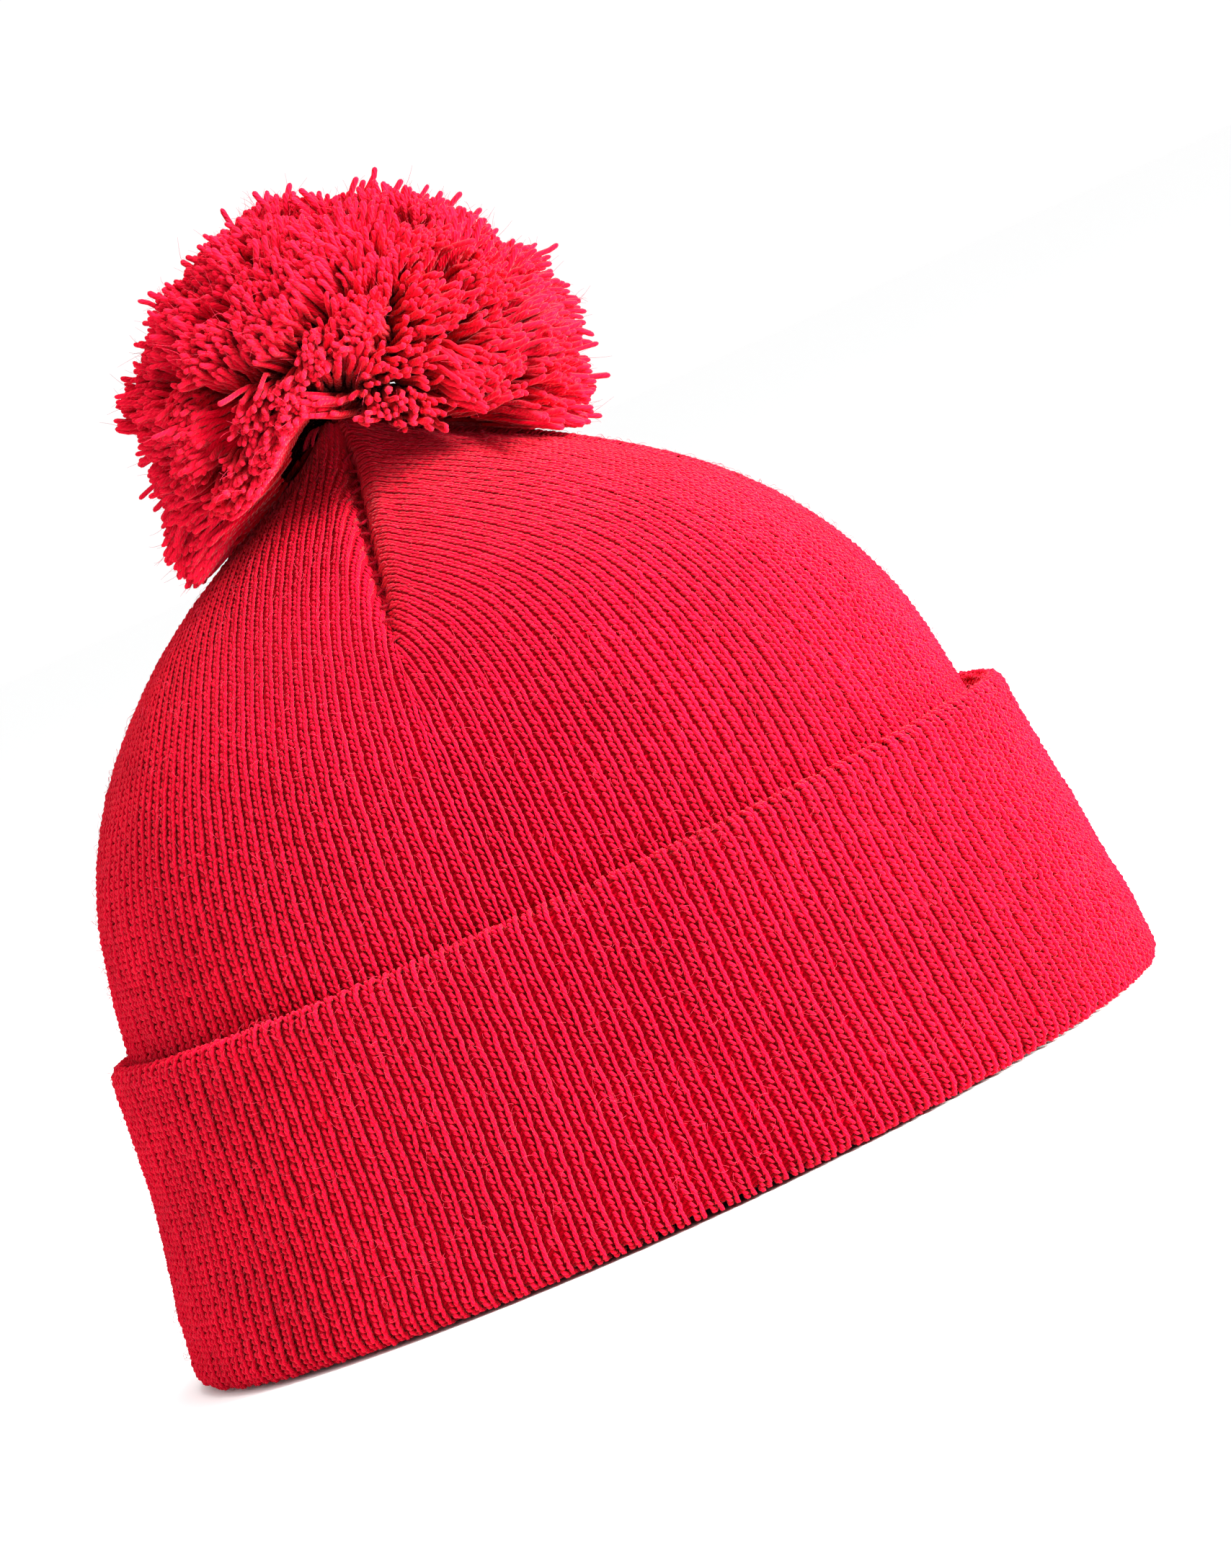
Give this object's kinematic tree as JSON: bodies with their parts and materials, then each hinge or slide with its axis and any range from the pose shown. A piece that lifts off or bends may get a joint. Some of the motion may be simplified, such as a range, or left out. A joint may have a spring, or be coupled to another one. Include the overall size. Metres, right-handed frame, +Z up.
{
  "type": "pom pom beanie",
  "caption": "Red rib-knit beanie in two layers of knit, with a deep turned-up cuff, crown darts and a cut-yarn pompom tied on at the tip.",
  "frame": {"origin": "middle of the brim opening, on the surface that the brim stands on", "axes": "+Z up through the crown's tip, +X to the wearer's front, +Y to the wearer's left"},
  "size_m": [0.2158, 0.1744, 0.216],
  "materials": {
    "outer_knit": "soft matt acrylic rib knit with a slight halo of fibre",
    "lining_knit": "soft matt acrylic rib knit",
    "seam_thread": "matt sewing yarn, seen in shadow",
    "tie_yarn": "matt twisted yarn",
    "pompom_yarn": "soft two-ply cut yarn with frayed ends",
    "label_tape": "blank woven satin tape",
    "label_thread": "matt polyester thread"
  },
  "bodies": {
    "crown": {"crown_outer": "outer_knit", "crown_lining": "lining_knit", "dart_seam_front": "seam_thread", "dart_seam_left": "seam_thread", "dart_seam_back": "seam_thread", "dart_seam_right": "seam_thread", "lining_dart_front": "seam_thread", "lining_dart_left": "seam_thread", "lining_dart_back": "seam_thread", "lining_dart_right": "seam_thread", "crown_gather_stitches": "seam_thread", "anchor_knot": "tie_yarn", "label_stitches": "label_thread"},
    "cuff": {"cuff_inner_ply": "lining_knit", "cuff_outer_ply": "outer_knit", "cuff_top_fold": "outer_knit", "brim_fold_inner": "lining_knit", "brim_fold_outer": "outer_knit"},
    "tie_lower": {"tie_yarn_lower": "tie_yarn"},
    "tie_upper": {"tie_yarn_upper": "tie_yarn"},
    "pompom": {"pompom_yarn": "pompom_yarn", "pompom_waist_tie": "tie_yarn"},
    "label": {"care_label": "label_tape"}
  },
  "joints": [
    {"name": "cuff_turn_down", "type": "slide", "parent": "crown", "child": "cuff", "axis": [0, 0, -1], "range_m": [0, 0.02], "deforming": ["cuff_inner_ply", "cuff_outer_ply", "cuff_top_fold"]},
    {"name": "pompom_twist", "type": "hinge", "parent": "crown", "child": "tie_lower", "pos_m": [0, 0, 0.1639], "axis": [0, 0, 1], "range_deg": [-30, 30], "stiffness_Nm_per_rad": 0.05},
    {"name": "pompom_nod", "type": "hinge", "parent": "tie_lower", "child": "tie_upper", "pos_m": [0, 0, 0.166], "axis": [0, 1, 0], "range_deg": [-10, 10], "stiffness_Nm_per_rad": 0.2},
    {"name": "pompom_lean", "type": "hinge", "parent": "tie_upper", "child": "pompom", "pos_m": [0, 0, 0.166], "axis": [1, 0, 0], "range_deg": [-10, 10], "stiffness_Nm_per_rad": 0.2},
    {"name": "label_flap", "type": "hinge", "parent": "crown", "child": "label", "pos_m": [-0.0754, 0, 0.1048], "axis": [0, -1, 0], "range_deg": [-10, 75]}
  ]
}
